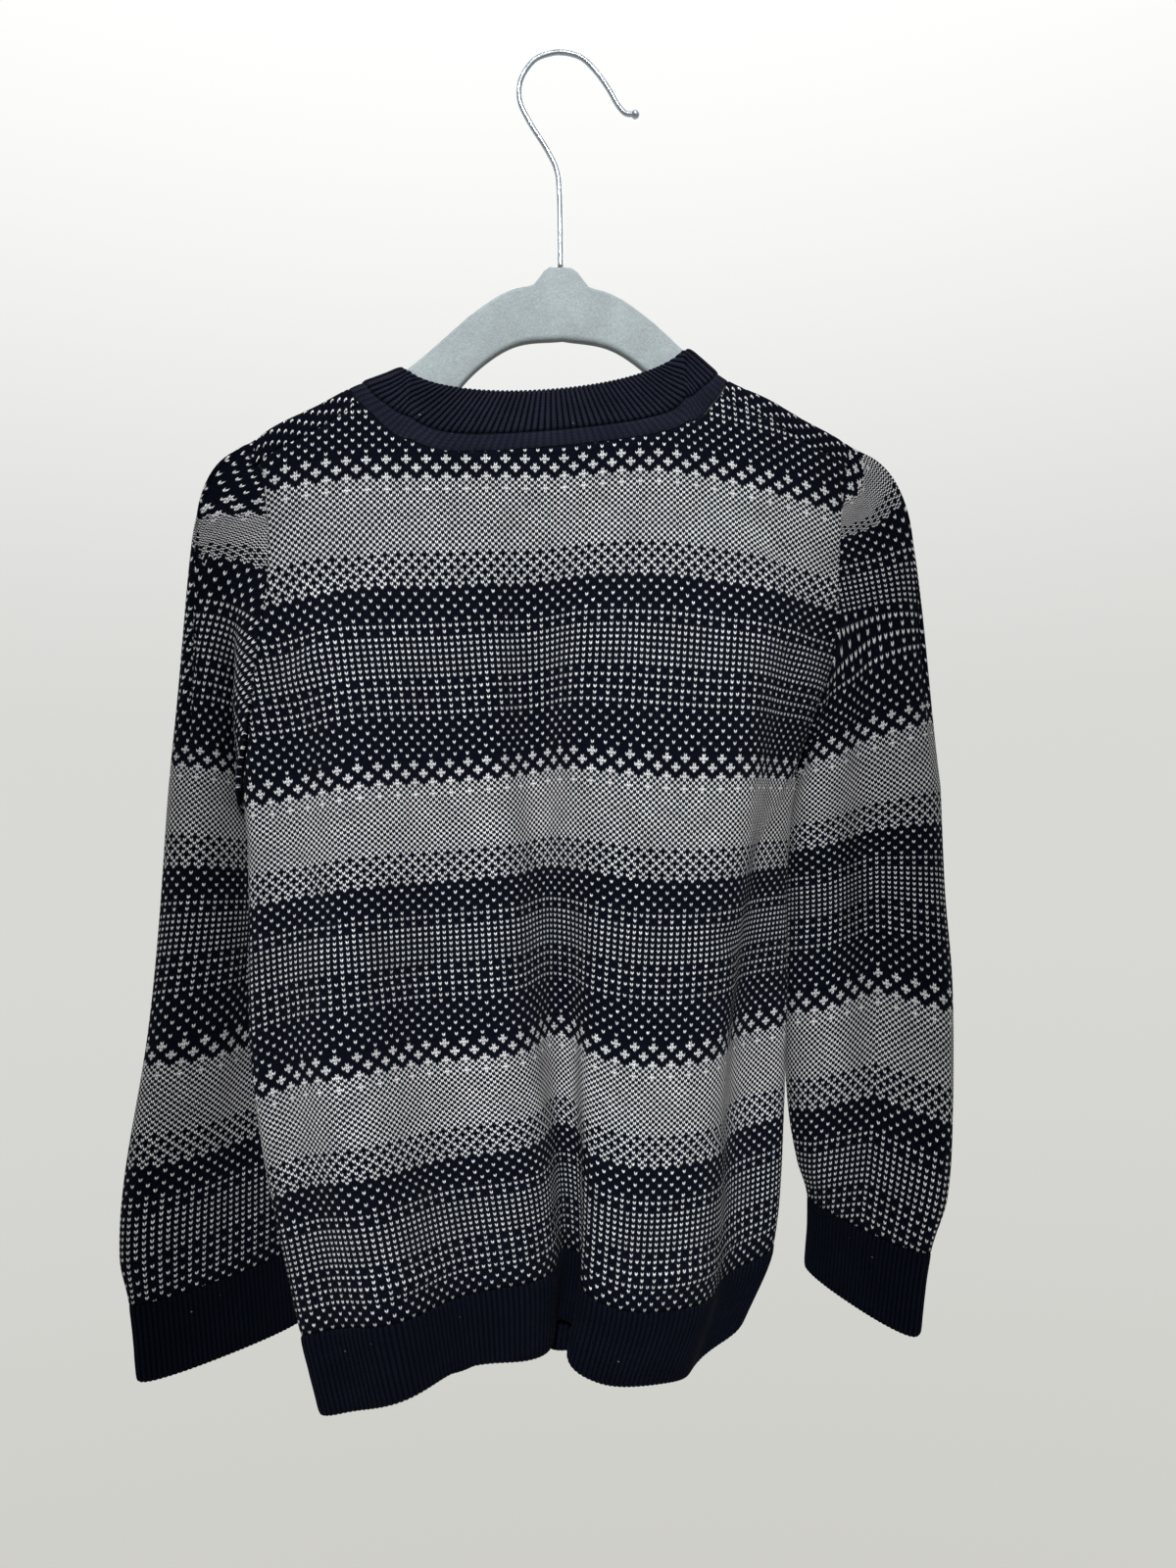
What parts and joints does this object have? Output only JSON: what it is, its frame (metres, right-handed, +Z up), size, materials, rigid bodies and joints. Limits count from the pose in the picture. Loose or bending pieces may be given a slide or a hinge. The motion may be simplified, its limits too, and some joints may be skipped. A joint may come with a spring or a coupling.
{
  "type": "striped sweater on a hanger",
  "caption": "Child's crew-neck sweater in navy and off-white jacquard stripes with navy ribs, hung on a pale flocked hanger with a wire hook",
  "frame": {"origin": "inside top of the hanger's hook, where it rests on a rail", "axes": "+Z up, +X towards the right of a viewer who faces the garment's back, -Y towards that viewer"},
  "size_m": [0.4087, 0.1381, 0.6761],
  "materials": {
    "jacquard": "matt fine-gauge jacquard knit, navy and off-white",
    "rib": "matt navy rib knit",
    "flock": "pale grey-blue flock",
    "wire": "bright drawn wire"
  },
  "bodies": {
    "root": {"back": "jacquard", "front": "jacquard", "sleeve_left": "jacquard", "sleeve_right": "jacquard", "neckband": "rib", "hem_band": "rib", "cuff_left": "rib", "cuff_right": "rib", "hanger_body": "flock", "hanger_hook": "wire"}
  },
  "joints": []
}
